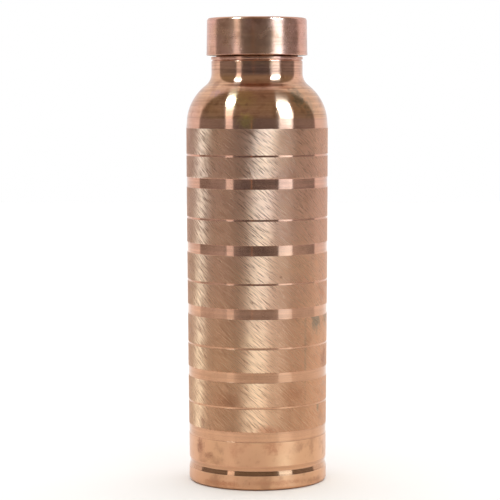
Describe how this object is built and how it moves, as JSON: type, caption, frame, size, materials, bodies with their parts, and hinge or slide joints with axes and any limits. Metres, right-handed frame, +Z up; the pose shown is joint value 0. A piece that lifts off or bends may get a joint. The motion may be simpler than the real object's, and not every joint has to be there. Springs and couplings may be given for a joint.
{
  "type": "water bottle",
  "caption": "Slim spun copper water bottle with turned bands, a rounded shoulder, a threaded neck collar and a lined screw cap with a seal.",
  "frame": {"origin": "centre of the foot, on the surface the bottle stands on", "axes": "+Z up along the bottle's axis, from the foot to the cap; +X and +Y are any two directions square to it, because the bottle is round"},
  "size_m": [0.0748, 0.0748, 0.2448],
  "materials": {
    "brushed_copper": "diagonally brushed between turned polished bands",
    "polished_copper": "turned and polished",
    "satin_copper": "plain satin, as formed",
    "braze": "brazed fillet, as run",
    "seal": "moulded silicone"
  },
  "bodies": {
    "bottle": {"body_shell": "brushed_copper", "base_disc": "satin_copper", "base_braze_ring": "braze", "neck_collar": "polished_copper", "collar_braze_ring": "braze"},
    "seal": {"seal_ring": "seal"},
    "cap": {"cap_shell": "polished_copper", "cap_thread_sleeve": "satin_copper", "cap_braze_ring": "braze", "cap_liner_disc": "satin_copper"}
  },
  "joints": [
    {"name": "cap_rise", "type": "slide", "parent": "bottle", "child": "seal", "axis": [0, 0, 1], "range_m": [0, 0.02]},
    {"name": "cap_turn", "type": "hinge", "parent": "seal", "child": "cap", "pos_m": [0, 0, 0.235], "axis": [0, 0, 1], "range_deg": [0, 1800]}
  ],
  "couplings": [
    {"joint": "cap_rise", "follows": "cap_turn", "m_per_rad": 0.00063662}
  ]
}
